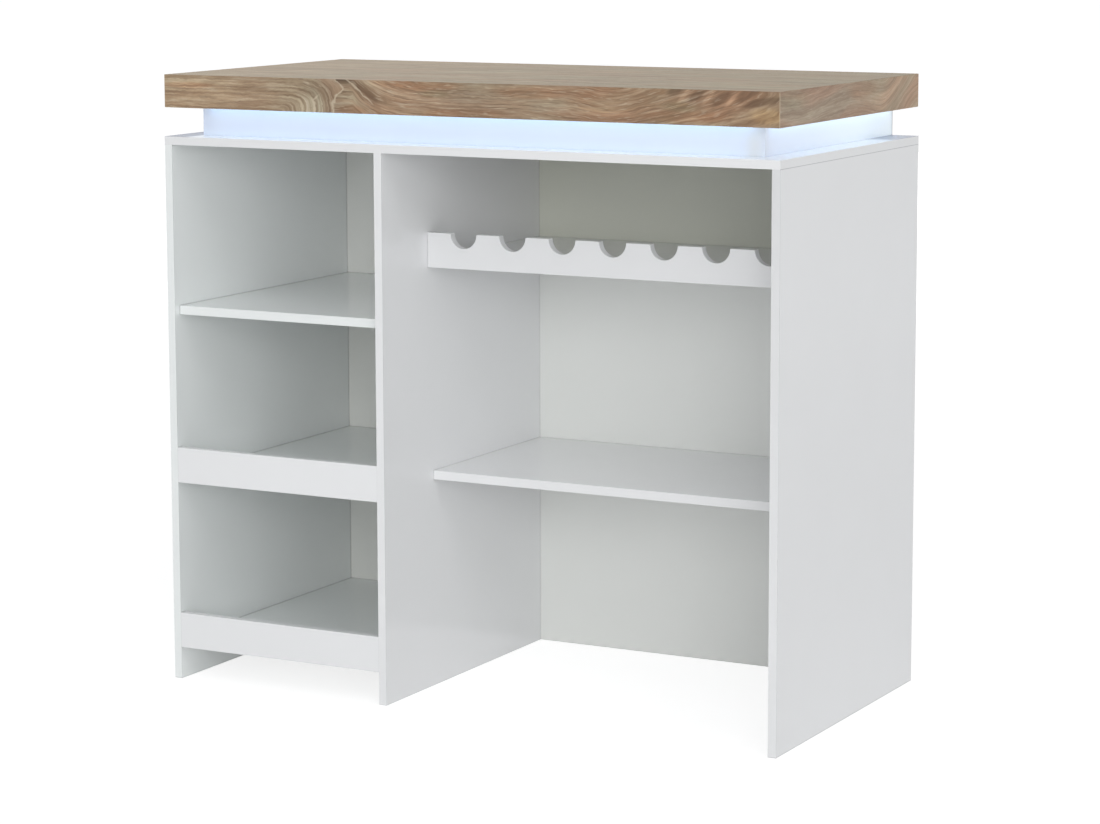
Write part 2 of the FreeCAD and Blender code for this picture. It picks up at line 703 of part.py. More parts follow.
def screw_shape():
    """A screw whose head is below zero and whose pointed shank stands above it."""
    whole = "Sizes.screw_head_height + Sizes.screw_length"
    screw = turned("screw_pattern", [
        (None, None), ("Sizes.screw_head_radius", None),
        ("Sizes.screw_radius", "Sizes.screw_head_height"),
        ("Sizes.screw_radius", "%s - Sizes.screw_radius" % whole), (None, whole)])
    shape = screw.Shape.copy()
    shape.translate(V(0, 0, -number("Sizes.screw_head_height")))
    return shape


def make_fasteners():
    """Dowels of the carcass top and of the worktop, and the screws of the plinth."""
    level = number("Places.upright_height")
    front = number("Places.front_edge")
    middle = number("Places.upright_middle")
    placements = []
    for edge in ("Places.left_edge", "Places.divider_edge", "Places.right_panel_edge"):
        for along in ("Sizes.dowel_margin", "Places.rear_dowel"):
            point = V(number(edge) + middle, front + number(along), level)
            placements.append(standing(V(0, 0, -1), point))
    underside = number("Places.worktop_underside")
    for x, y in WORKTOP_DOWELS:
        placements.append(standing(V(0, 0, -1), V(number(x), number(y), underside)))
    group("dowels", dowel_shape(), placements)
    group("plinth_screws", screw_shape(),
          [standing(V(0, 0, 1), V(number(x), number(y), level)) for x, y in PLINTH_SCREWS])


def check_document():
    """Stop if any object failed to compute or any sub-part has no sound solid."""
    for item in doc.Objects:
        if "Invalid" in item.State or "Error" in item.State:
            raise ValueError("%s: %s" % (item.Label, item.State))
    for label, item in parts.items():
        if item.Shape.isNull() or not item.Shape.isValid() or not item.Shape.Solids:
            raise ValueError("%s has no sound shape" % label)


make_uprights()
make_carcass_top()
make_backs()
make_left_bay()
make_right_bay()
make_plinth()
make_worktop()
make_light_strips()
make_power()
make_fasteners()
doc.recompute()
check_document()

os.makedirs("parts", exist_ok=True)
for label, item in parts.items():
    item.Shape.exportStep("parts/%s.step" % label)
print("%d sub-parts, %d solids" % (len(parts), sum(len(item.Shape.Solids) for item in parts.values())))
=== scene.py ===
"""Looks of the bar cabinet: finishes, softened edges, soft studio light, floor and camera.

Metres, in the same frame as the solids: X to the right, Y to the rear, Z up. Colours are linear.
"""

import bpy
import math
from mathutils import Matrix, Vector


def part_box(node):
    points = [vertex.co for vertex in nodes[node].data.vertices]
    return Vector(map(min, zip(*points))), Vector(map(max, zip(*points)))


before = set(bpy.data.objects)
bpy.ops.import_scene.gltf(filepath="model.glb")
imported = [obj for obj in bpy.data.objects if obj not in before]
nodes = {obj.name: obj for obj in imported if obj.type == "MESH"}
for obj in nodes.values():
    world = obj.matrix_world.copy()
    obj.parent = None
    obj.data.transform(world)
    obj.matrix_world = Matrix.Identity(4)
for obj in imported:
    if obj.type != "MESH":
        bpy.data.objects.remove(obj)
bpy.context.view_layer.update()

# Places that the finishes refer to, read from the solids.
SLAB_LOW, SLAB_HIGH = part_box("worktop_front_apron")
SLAB_HEIGHT = SLAB_HIGH.z - SLAB_LOW.z
TOP_LOW, TOP_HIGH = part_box("carcass_top_panel")
PLINTH_LOW, PLINTH_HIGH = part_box("front_plinth_board")
BOTTLE_SHELF_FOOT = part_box("bottle_shelf")[0].z
FRONT = TOP_LOW.y
REAR = -FRONT

# How near to a face a point counts as lying on it: a flat face, one whose edge is round, and a
# front or outer side.
ON_FACE = 0.0003
ON_EDGE = 0.0005
ON_OUTSIDE = 0.0006
# The part of a noise that is used.
NOISE_RANGE = (0.3, 0.7)


# Helpers for node trees.
class Nodes:
    """The node tree of a material or world; most calls add a node and return its output."""

    def __init__(self, owner):
        owner.use_nodes = True
        self.tree = owner.node_tree
        self.tree.nodes.clear()

    def add(self, kind, inputs=None, **settings):
        """A new node, with its inputs given by name or number; here the node itself is returned."""
        made = self.tree.nodes.new(kind)
        for key, value in settings.items():
            setattr(made, key, value)
        for key, value in (inputs or {}).items():
            self.put(made.inputs[key], value)
        return made

    def put(self, socket, value):
        if isinstance(value, bpy.types.NodeSocket):
            self.tree.links.new(value, socket)
        else:
            socket.default_value = value

    def math(self, operation, *values):
        return self.add("ShaderNodeMath", dict(enumerate(values)), operation=operation).outputs[0]

    def sum(self, first, *rest):
        for value in rest:
            first = self.math("ADD", first, value)
        return first

    def minus(self, first, second):
        return self.math("SUBTRACT", first, second)

    def times(self, first, second):
        return self.math("MULTIPLY", first, second)

    def size(self, value):
        return self.math("ABSOLUTE", value)

    def above(self, value, limit):
        return self.math("GREATER_THAN", value, limit)

    def below(self, value, limit):
        return self.math("LESS_THAN", value, limit)

    def hill(self, value, centre, reach):
        """1 at centre, fading to 0 over reach."""
        off = self.times(self.minus(value, centre), 1 / reach)
        return self.math("EXPONENT", self.times(self.times(off, off), -1.0))

    def vector(self, x, y, z=0.0):
        return self.add("ShaderNodeCombineXYZ", {0: x, 1: y, 2: z}).outputs[0]

    def noise(self, vector, scale, detail=2.0, roughness=0.5):
        made = self.add("ShaderNodeTexNoise", {"Vector": vector, "Scale": scale, "Detail": detail,
                                               "Roughness": roughness})
        return made.outputs["Fac"]

    def ramp(self, value, stops):
        made = self.add("ShaderNodeValToRGB", {0: value})
        elements = made.color_ramp.elements
        while len(elements) < len(stops):
            elements.new(0.5)
        for element, (place, colour) in zip(elements, stops):
            element.position = place
            element.color = (*colour, 1.0)
        return made.outputs[0]

    def mix(self, factor, first, second, blend="MIX"):
        """A colour between two others."""
        made = self.add("ShaderNodeMix", data_type="RGBA", blend_type=blend)
        for index, value in ((0, factor), (6, first), (7, second)):
            if isinstance(value, tuple):
                value = (*value, 1.0)
            self.put(made.inputs[index], value)
        return made.outputs[2]

    def tinted(self, factor, colour, tint):
        return self.mix(factor, colour, tint, "MULTIPLY")

    def dimmed(self, factor, colour, level):
        return self.tinted(factor, colour, self.vector(level, level, level))

    def between(self, factor, first, second):
        """A number between two others."""
        made = self.add("ShaderNodeMix", {0: factor, 2: first, 3: second}, data_type="FLOAT")
        return made.outputs[0]

    def fit(self, value, low, high, to_low=0.0, to_high=1.0, smooth=False):
        """The range low to high laid over the range to_low to to_high, and held at its ends."""
        made = self.add("ShaderNodeMapRange", {0: value, 1: low, 2: high, 3: to_low, 4: to_high})
        made.interpolation_type = "SMOOTHSTEP" if smooth else "LINEAR"
        made.clamp = True
        return made.outputs[0]

    def line(self, away, core, half, strength):
        """A soft line: its full strength up to core away from its middle, and nothing from half."""
        return self.fit(away, core, half, strength, 0.0)

    def bump(self, height, distance, strength):
        made = self.add("ShaderNodeBump", {"Strength": strength, "Distance": distance,
                                           "Height": height})
        return made.outputs[0]


class Finish(Nodes):
    """A material's nodes round one surface shader, with the point's place as x, y and z."""

    def __init__(self, name):
        self.material = bpy.data.materials.new(name)
        super().__init__(self.material)
        self.surface = self.add("ShaderNodeBsdfPrincipled")
        self.add("ShaderNodeOutputMaterial", {0: self.surface.outputs[0]})
        self.place = self.add("ShaderNodeTexCoord").outputs["Object"]
        self.x, self.y, self.z = self.add("ShaderNodeSeparateXYZ", {0: self.place}).outputs

    def set(self, **inputs):
        for key, value in inputs.items():
            self.put(self.surface.inputs[key.replace("_", " ")], value)


def in_view(s):
    """1 for what the camera sees, also in gloss and through glass."""
    path = s.add("ShaderNodeLightPath").outputs
    seen = path["Is Camera Ray"]
    for ray in ("Is Glossy Ray", "Is Transmission Ray"):
        seen = s.math("MAXIMUM", seen, path[ray])
    return seen


# White gloss board.
WHITE = (0.885, 0.892, 0.902)
# Painted light: the left side panel and the left bay's shelves are whiter, which brightens the left
# bay.
LEFT_BAY_PAINTED_LIGHT_WHITE = (0.920, 0.950, 0.945)
# Painted shade: the plinth boards' white is darker, as in the shade under the worktop's overhang.
PLINTH_PAINTED_SHADE_WHITE = (0.800, 0.835, 0.865)
CLOUD_SCALE = 5.0
CLOUD_DIM = 0.985
# Roughness, and how it varies over a board.
GLOSSY = 0.10
SMEAR = 0.04
SMEAR_SCALE = 9.0
SMEAR_RANGE = (0.35, 0.7)
# Faint waves in the lacquer: how close together, how deep and how strong.
PEEL_SCALE, PEEL_DEPTH, PEEL_STRENGTH = 420.0, 0.00002, 0.15
# Painted shade from ambient occlusion darkens the inner corners where boards meet, which also draws
# their joint lines: how dark it makes the finish at a joint, how far that reaches, and the openness
# at and beyond a joint.
JOINT_SHADE = 0.6
JOINT_SHADE_REACH = 0.0028
OPENNESS = (0.45, 0.92)
# Painted shade on the front edges: how bright an edge band is left at the top, the share of its
# dimness at the foot, and between which heights it changes.
EDGE_SHADE = 0.95
EDGE_FOOT_SHARE = 0.3
EDGE_HEIGHTS = (0.2, 0.95)
# The line behind an edge band: how far behind the front, and its core, half width and strength.
BAND_PLACE = 0.0011
BAND_LINE = (0.0001, 0.0004, 0.55)
BAND_COLOUR = (0.42, 0.43, 0.46)
# The seam under the carcass top on the outer sides.
SEAM_LINE = (0.0003, 0.0009, 0.5)
SEAM_COLOUR = (0.30, 0.30, 0.33)
# Painted light and shade on the back boards' inner faces: the left sheet's is lighter, the right
# board's darker and warmer, most above the bottle shelf.
SHEET_PAINTED_LIGHT = (1.051, 1.052, 1.001)
BACK_PAINTED_SHADE = (0.983, 0.992, 0.953)
BOTTLE_SPACE_PAINTED_SHADE = (0.904, 0.913, 0.801)


def white_board(name, front=None, colour=WHITE, roughness=GLOSSY, joint=JOINT_SHADE, edge=EDGE_SHADE,
                lit=None, tint=None):
    """High-gloss laminate.

    front is the Y of a front edge that carries an edge band, edge how bright the painted shade on
    the front edges leaves that band, joint how dark the painted shade makes the finish where it
    meets another board, lit the light that it takes from the strips, painted as emission, and tint
    a place whose colour is changed by painted light or shade.
    """
    s = Finish(name)
    cloud = s.fit(s.noise(s.place, CLOUD_SCALE), *NOISE_RANGE)
    shade = s.mix(cloud, tuple(c * CLOUD_DIM for c in colour), colour)
    # Painted shade: ambient occlusion darkens the finish in inner corners.
    near = s.add("ShaderNodeAmbientOcclusion", {"Distance": JOINT_SHADE_REACH}, samples=4)
    shade = s.dimmed(1.0, shade, s.fit(near.outputs["AO"], *OPENNESS, joint, 1.0))
    if tint:
        mask, change = tint(s)
        shade = s.tinted(mask, shade, change)
    if front is not None:
        # Painted shade: the front edge is darker higher up.
        face = s.below(s.y, front + ON_OUTSIDE)
        foot = 1.0 - EDGE_FOOT_SHARE * (1.0 - edge)
        shade = s.dimmed(face, shade, s.fit(s.z, *EDGE_HEIGHTS, foot, edge))
        away = s.size(s.minus(s.y, front + BAND_PLACE))
        shade = s.mix(s.line(away, *BAND_LINE), shade, BAND_COLOUR)
    away = s.size(s.minus(s.z, TOP_LOW.z))
    outside = s.above(s.size(s.x), TOP_HIGH.x - ON_OUTSIDE)
    seam = s.times(s.line(away, *SEAM_LINE), outside)
    smear = s.noise(s.place, SMEAR_SCALE, 3.0, 0.6)
    peel = s.noise(s.place, PEEL_SCALE, 1.0)
    s.set(Base_Color=s.mix(seam, shade, SEAM_COLOUR),
          Roughness=s.fit(smear, *SMEAR_RANGE, roughness, roughness + SMEAR),
          Normal=s.bump(peel, PEEL_DEPTH, PEEL_STRENGTH),
          IOR=1.5)
    if lit:
        glow, strength = lit(s)
        s.set(Emission_Color=glow, Emission_Strength=strength)
    return s.material


def inner_face(name, low, high):
    """Painted light or shade on a back board's inner face: low, and above the bottle shelf high."""
    front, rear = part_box(name)

    def tint(s):
        inner = s.below(s.y, (front.y + rear.y) / 2)
        return inner, s.mix(s.above(s.z, BOTTLE_SHELF_FOOT), low, high)
    return tint


# Light of the strips under the worktop.
STRIP_LIGHT = 2.0
STRIP_COVER = (0.88, 0.92, 1.0, 1.0)
STRIP_COLOURS = ((0.35, 0.60, 0.94), (0.43, 0.68, 0.95))
DIODE_PITCH = 0.0167
# Painted light, as emission, on the plinth's front: its colours at the foot and above, its levels
# at the foot and the top, and a dim place near the right corner.
FRONT_GLOWS = ((0.28, 0.54, 1.0), (0.10, 0.28, 0.9))
FRONT_LEVELS = (0.19, 0.07)
FOOT_REACH = 0.02
DIM_PLACE, DIM_REACH, DIM_LEVEL = 0.019, 0.016, 0.1
# Painted light, as emission, on its sides, from the front to the rear: the colours, the levels, the
# dimmer front corner, and the rear end, which stays dark.
SIDE_DEPTHS = (-0.25, 0.26)
SIDE_GLOWS = ((0.55, 0.65, 1.0), (0.80, 0.94, 1.0))
SIDE_LEVELS = (0.20, 0.34)
CORNER_REACH, CORNER_LEVEL = 0.02, 0.6
REAR_END = (REAR - 0.006, REAR - 0.002)
# On the ledge: its painted light, as emission, and what the painted shadow on its dim left and rear
# strips does to the colour and the gloss.
LEDGE_GLOW = (0.70, 0.82, 1.0)
LEDGE_LEVEL = 0.11
LEDGE_PAINTED_SHADOW = (0.52, 0.55, 0.64)
DIM_LEFT = (PLINTH_LOW.x - 0.004, PLINTH_LOW.x + 0.004)
DIM_REAR = (0.16, 0.21)
PLAIN_GLOSS, DIM_GLOSS = 0.5, 0.03


def plinth_glow(s):
    """The strips' light in the plinth, painted as emission: blue in front, paler towards the rear.
    """
    height = s.fit(s.z, PLINTH_LOW.z, PLINTH_LOW.z + FOOT_REACH)
    dim = s.hill(s.x, PLINTH_HIGH.x - DIM_PLACE, DIM_REACH)
    front_level = s.times(s.fit(s.z, PLINTH_LOW.z, PLINTH_HIGH.z, *FRONT_LEVELS),
                          s.fit(dim, 0.0, 1.0, 1.0, DIM_LEVEL))
    depth = s.fit(s.y, *SIDE_DEPTHS)
    side_level = s.times(s.fit(depth, 0.0, 1.0, *SIDE_LEVELS), s.fit(s.y, *REAR_END, 1.0, 0.0))
    corner = s.fit(s.y, PLINTH_LOW.y, PLINTH_LOW.y + CORNER_REACH, CORNER_LEVEL, 1.0)
    face = s.below(s.y, PLINTH_LOW.y + ON_EDGE)
    glow = s.mix(face, s.mix(depth, *SIDE_GLOWS), s.mix(height, *FRONT_GLOWS))
    return glow, s.between(face, s.times(side_level, corner), front_level)


def ledge_parts(s):
    """Where the point is on the ledge, and where it is on the dim left or rear strip of it."""
    top = s.above(s.z, TOP_HIGH.z - ON_FACE)
    strips = s.math("MAXIMUM", s.fit(s.x, *DIM_LEFT, 1.0, 0.0), s.fit(s.y, *DIM_REAR))
    return top, s.times(strips, top)


def ledge_shade(s):
    """Painted shadow: the ledge is darker and less glossy on the left and at the rear."""
    faint = ledge_parts(s)[1]
    s.set(Specular_IOR_Level=s.fit(faint, 0.0, 1.0, PLAIN_GLOSS, DIM_GLOSS))
    return faint, LEDGE_PAINTED_SHADOW


def ledge_glow(s):
    """The strips' light on the ledge round the plinth's foot, painted as emission."""
    top, faint = ledge_parts(s)
    level = s.times(top, s.fit(faint, 0.0, 1.0, LEDGE_LEVEL, 0.0))
    return s.mix(top, (0.0, 0.0, 0.0), LEDGE_GLOW), level


def diffuser(name):
    """Milky cover of a light strip, a little brighter over each diode."""
    s = Finish(name)
    beat = s.math("SINE", s.times(s.sum(s.x, s.y), 2 * math.pi / DIODE_PITCH))
    s.set(Base_Color=STRIP_COVER, Roughness=0.4, Emission_Strength=STRIP_LIGHT,
          Emission_Color=s.mix(s.fit(beat, -1.0, 1.0), *STRIP_COLOURS))
    return s.material


# Oak decor.
PORE = (0.11, 0.068, 0.038)
DEEP = (0.150, 0.092, 0.052)
BROWN = (0.235, 0.152, 0.090)
TAN = (0.340, 0.240, 0.152)
SAND = (0.430, 0.325, 0.218)
STRAW = (0.53, 0.43, 0.305)
CREAM = (0.620, 0.520, 0.385)
# What a zone or a streak does to the colour under it.
RED_ZONE = (1.08, 0.94, 0.87)
GREY_ZONE = (0.97, 1.02, 1.0)
CALM_ZONE = (1.03, 0.99, 0.95)
DARK_STREAK = (0.78, 0.75, 0.72)
PALE_STREAK = (1.20, 1.22, 1.23)
# Painted sheen and shade on the top, from the left end, lighter and greyer, to the right end,
# darker and yellower.
TOP_PAINTED_SHEEN_AND_SHADE = ((1.15, 1.19, 1.11), (0.81, 0.82, 0.66))
TOP_RANGE = (-0.5, 0.5)
# What a stain does to it.
PALE = (1.13, 1.16, 1.16)
LIGHT = (1.38, 1.45, 1.52)
GREYED = (0.85, 0.88, 0.90)
REDDER = (0.97, 0.83, 0.75)
OLIVE = (0.89, 0.96, 0.91)
BROWNED = (0.80, 0.70, 0.65)
SHADED = (0.90, 0.90, 0.91)
GOLD = (1.30, 1.26, 1.08)
DARKER = (0.58, 0.54, 0.50)
TAWNY = (0.92, 0.87, 0.89)
ROSY = (1.04, 0.98, 0.97)

# Stains in their order: the tint, how far the patches lean along for each metre up, how far they
# climb for each metre along, and the patches, each with its place along, its height, and its reach
# both ways.
FRONT_STAINS = [
    (PALE, 0.0, 0.0, [(-0.54, 0.030, 0.09, 0.060), (-0.212, 0.027, 0.018, 0.014),
                      (-0.158, 0.054, 0.020, 0.006), (0.27, 0.020, 0.05, 0.005)]),
    (LIGHT, 0.0, 0.0, [(-0.285, 0.010, 0.028, 0.018)]),
    (GREYED, 0.0, 0.0, [(0.08, 0.030, 0.10, 0.060), (-0.25, 0.03, 0.05, 0.06)]),
    (REDDER, 0.0, 0.0, [(-0.065, 0.053, 0.075, 0.008), (-0.55, 0.041, 0.055, 0.005),
                        (0.375, 0.054, 0.022, 0.007), (0.150, 0.045, 0.070, 0.010),
                        (-0.21, 0.006, 0.028, 0.008), (0.02, 0.006, 0.09, 0.007),
                        (0.42, 0.013, 0.09, 0.009), (0.30, 0.035, 0.08, 0.035)]),
    (OLIVE, 0.0, 0.0, [(-0.045, 0.038, 0.028, 0.006), (0.42, 0.030, 0.03, 0.008)]),
    (BROWNED, 0.0, 0.0, [(0.56, 0.030, 0.085, 0.045)]),
    (SHADED, 0.0, 0.0, [(0.27, 0.030, 0.10, 0.060), (0.0, 0.020, 0.09, 0.030)]),
    (GOLD, 0.0, 0.0, [(0.578, 0.018, 0.030, 0.013)]),
    (DARKER, -1.1, 0.0, [(-0.140, 0.036, 0.016, 0.021)]),
    (DARKER, 0.0, 0.0, [(-0.225, 0.056, 0.018, 0.006)]),
    (DARKER, 0.9, 0.0, [(0.361, 0.055, 0.012, 0.007), (0.406, 0.049, 0.011, 0.012),
                        (0.4535, 0.045, 0.012, 0.014), (0.498, 0.051, 0.020, 0.013)]),
    (DARKER, 0.0, 0.2, [(0.565, -0.0725, 0.040, 0.006)]),
    (LIGHT, 0.0, 0.54, [(0.540, -0.2511, 0.024, 0.0045)]),
    (LIGHT, 0.9, 0.0, [(0.384, 0.048, 0.005, 0.012), (0.430, 0.046, 0.005, 0.012),
                       (0.474, 0.043, 0.005, 0.012)]),
]
SIDE_STAINS = [
    (PALE, 0.0, 0.0, [(0.22, 0.030, 0.12, 0.045)]),
    (ROSY, 0.0, 0.0, [(0.26, 0.030, 0.14, 0.080)]),
    (TAWNY, 0.0, 0.0, [(-0.20, 0.030, 0.22, 0.080)]),
    (REDDER, 0.0, 0.0, [(0.045, 0.044, 0.060, 0.014)]),
    (OLIVE, 0.0, 0.0, [(-0.25, 0.045, 0.06, 0.016)]),
]
STAIN_RANGE = (0.15, 0.60)

# How the grain wanders: steps for each metre along and across it, and how far.
WARPS = ((3.0, 9.0, 0.022), (11.0, 34.0, 0.008), (34.0, 90.0, 0.0028))
# The decor's layers: steps for each metre along and across the grain, where in the noise each
# lies, its detail and its roughness.
LAYERS = {
    "broad": (3.2, 58.0, 0.0, 4.0, 0.62),
    "middle": (15.0, 235.0, 7.0, 3.0, 0.6),
    "long": (2.6, 310.0, 53.0, 2.0, 0.5),
    "dash": (34.0, 430.0, 29.0, 1.0, 0.5),
    "fleck": (42.0, 380.0, 37.0, 1.0, 0.5),
    "fine": (60.0, 1300.0, 11.0, 2.0, 0.6),
    "pores": (95.0, 2400.0, 17.0, 1.0, 0.5),
    "patch": (4.5, 24.0, 23.0, 2.0, 0.5),
    "crowd": (6.0, 40.0, 43.0, 2.0, 0.5),
}
# The ground's colours over the broad layer.
GROUND = [(0.30, BROWN), (0.44, TAN), (0.56, SAND), (0.72, STRAW)]
# What is laid over it before and after the stains: the layer, its values from nothing to full, the
# strength there, the colour, and whether that is laid on or multiplied.
STREAKS = (
    ("middle", 0.50, 0.34, 0.75, BROWN, "MIX"),
    ("middle", 0.52, 0.68, 0.55, CREAM, "MIX"),
    ("long", 0.48, 0.36, 0.8, DARK_STREAK, "MULTIPLY"),
    ("long", 0.52, 0.64, 0.8, PALE_STREAK, "MULTIPLY"),
)
FLECKS = (
    ("dash", 0.56, 0.66, 0.65, DEEP, "MIX"),
    ("fleck", 0.60, 0.70, 0.50, CREAM, "MIX"),
    ("fine", 0.65, 0.35, 0.31, DEEP, "MIX"),
    ("pores", 0.64, 0.74, 0.50, PORE, "MIX"),
)
# Values between which the slow layers change over from one zone to another, and how few dashes
# the poorest zone has.
ZONE_RANGE = (0.40, 0.60)
FEWEST_DASHES = 0.15
# The left end is calmer, and dashes and flecks are fewer towards the right end: between which
# places that changes, and how much is left.
CALM_RANGE, CALM_SHARE = (-0.40, -0.30), 0.35
BUSY_RANGE, BUSY_SHARE = (0.30, 0.45), 0.55
# The pale line at a face's ends: its core, half width and strength.
RIM_LINE = (0.0006, 0.0018, 0.45)
OAK_ROUGHNESS = (0.52, 0.40)
# The relief: how far the pores go in beside the fine lines, its depth and its strength.
PORE_SHARE = -0.8
RELIEF, RELIEF_STRENGTH = 0.00012, 0.5

# The front's figure, along from the middle and up from the lower edge: where the arches bend over
# and how fast, where the seam beside them is and bends, how the grain falls and dips beyond it, and
# how it rises towards the right end.
ARCH_PLACE, ARCH_PITCH, ARCH_WOBBLE = -0.355, 0.53, 0.28
SEAM_PLACE, SEAM_SOFT = -0.245, 0.001
SEAM_BEND_AT, SEAM_BEND_REACH, SEAM_BEND = 0.043, 0.012, -0.02
WOBBLE, WOBBLE_SCALE = 0.018, 75.0
FALL_PLACE, FALL_RATE, FALL_HEIGHT = -0.205, -22.0, 0.045
DIP_PLACE, DIP_WIDTH, DIP_HEIGHT = 0.285, 0.065, 0.012
RISE_RANGE, RISE_HEIGHT, RISE_FOOT_SHARE = (0.33, 0.68), 0.080, 0.4
# The pale veins besides the seam's own: the spur right of it and the branch left of it, between
# which heights each begins or ends, and the veins' core, half width and strength.
SPUR_PLACE, SPUR_LEAN, SPUR_WOBBLE = -0.1427, 1.27, 0.7
SPUR_BEGINS = (0.012, 0.022)
BRANCH_PLACE = 0.038
BRANCH_ENDS = (0.026, 0.036)
VEIN_OFF = 0.004
VEIN_LINE = (0.0008, 0.0036, 0.6)
# The figure gives way to the top's level grain, which bows a little.
TOP_EDGE = (SLAB_HEIGHT - 0.0005, SLAB_HEIGHT + 0.0035)
BOW_PLACE, BOW_WIDTH = 0.12, 0.42
BOW_DEPTH, BOW_REACH = 0.32, 0.22
BOW_HEIGHT = 0.05
# A side's figure: the wave's width and height, and the turn near the rear end.
WAVE_WIDTH, WAVE_HEIGHT = 0.13, 0.022
TURN_RANGE, TURN_HEIGHT = (0.12, 0.31), 0.09
# Where in the noise the rear's grain lies.
REAR_SHIFT = 0.9


def stain_masks(s, u, v, stains):
    """The tint and the soft mask of each stain."""
    found = []
    for tint, lean, climb, patches in stains:
        along = s.minus(u, s.times(v, lean)) if lean else u
        height = s.minus(v, s.times(u, climb)) if climb else v
        most = 0.0
        for place, high, reach_along, reach_high in patches:
            patch = s.times(s.hill(along, place, reach_along), s.hill(height, high, reach_high))
            most = s.math("MAXIMUM", patch, most)
        found.append((tint, most))
    return found


def grain_front(s, u, v, moved):
    """Front and top: arches left, a pale vein beside them, level grain, then a rising figure."""
    past = s.times(s.math("MAXIMUM", s.minus(u, ARCH_PLACE), 0.0), ARCH_PITCH)
    cubes = s.sum(s.math("POWER", s.math("MAXIMUM", moved, 0.0), 3.0), s.math("POWER", past, 3.0))
    rough = s.noise(s.vector(u, v), WOBBLE_SCALE, 3.0, 0.65)
    wobble = s.times(s.minus(rough, 0.5), WOBBLE)
    arches = s.sum(s.math("POWER", cubes, 1 / 3), s.times(wobble, ARCH_WOBBLE))

    beyond = s.math("MAXIMUM", s.minus(u, FALL_PLACE), 0.0)
    fall = s.times(s.math("EXPONENT", s.times(beyond, FALL_RATE)), FALL_HEIGHT)
    dip = s.times(s.hill(u, DIP_PLACE, DIP_WIDTH), DIP_HEIGHT)
    rise = s.times(s.fit(u, *RISE_RANGE, 0.0, RISE_HEIGHT, smooth=True),
                   s.fit(v, 0.0, SLAB_HEIGHT, RISE_FOOT_SHARE, 1.0))
    rest = s.minus(s.sum(s.minus(moved, fall), dip), rise)

    bend = s.times(s.hill(v, SEAM_BEND_AT, SEAM_BEND_REACH), SEAM_BEND)
    seam = s.sum(s.minus(u, SEAM_PLACE), bend, wobble)
    figure = s.between(s.fit(seam, -SEAM_SOFT, SEAM_SOFT), arches, rest)
    face = s.fit(v, *TOP_EDGE, 1.0, 0.0)
    bow = s.times(s.times(s.hill(u, BOW_PLACE, BOW_WIDTH), BOW_HEIGHT),
                  s.hill(v, BOW_DEPTH, BOW_REACH))
    lines = s.between(face, s.minus(moved, bow), figure)

    spur = s.sum(s.minus(u, SPUR_PLACE), s.times(v, SPUR_LEAN), s.times(wobble, SPUR_WOBBLE))
    spur = s.sum(s.size(spur), s.fit(v, *SPUR_BEGINS, VEIN_OFF, 0.0))
    branch = s.sum(s.size(s.sum(seam, BRANCH_PLACE)), s.fit(v, *BRANCH_ENDS, 0.0, VEIN_OFF))
    away = s.math("MINIMUM", s.size(seam), s.math("MINIMUM", spur, branch))
    vein = s.times(s.line(away, *VEIN_LINE), face)
    stains = [(tint, s.times(mask, face)) for tint, mask in stain_masks(s, u, v, FRONT_STAINS)]
    return lines, stains, vein


def grain_side(s, u, v, moved):
    """A side: a slow wave, turning upright near the rear end."""
    wave = s.times(s.hill(u, 0.0, WAVE_WIDTH), WAVE_HEIGHT)
    turn = s.fit(u, *TURN_RANGE, 0.0, TURN_HEIGHT, smooth=True)
    return s.minus(s.minus(moved, wave), turn), stain_masks(s, u, v, SIDE_STAINS), None


def across(s, inward):
    """Height across a face, carried on inward under its lower edge."""
    under = s.below(s.z, SLAB_LOW.z + ON_EDGE)
    return s.minus(s.minus(s.z, SLAB_LOW.z), s.times(inward, under))


def front_axes(s):
    """Along and across the front, whose grain goes on over the top."""
    inward = s.minus(s.y, FRONT)
    over = s.above(s.z, SLAB_HIGH.z - ON_EDGE)
    return s.x, s.sum(across(s, inward), s.times(inward, over))


def rear_axes(s):
    return s.x, s.sum(across(s, s.minus(REAR, s.y)), REAR_SHIFT)


def left_axes(s):
    return s.y, across(s, s.minus(s.x, SLAB_LOW.x))


def right_axes(s):
    return s.y, across(s, s.minus(SLAB_HIGH.x, s.x))


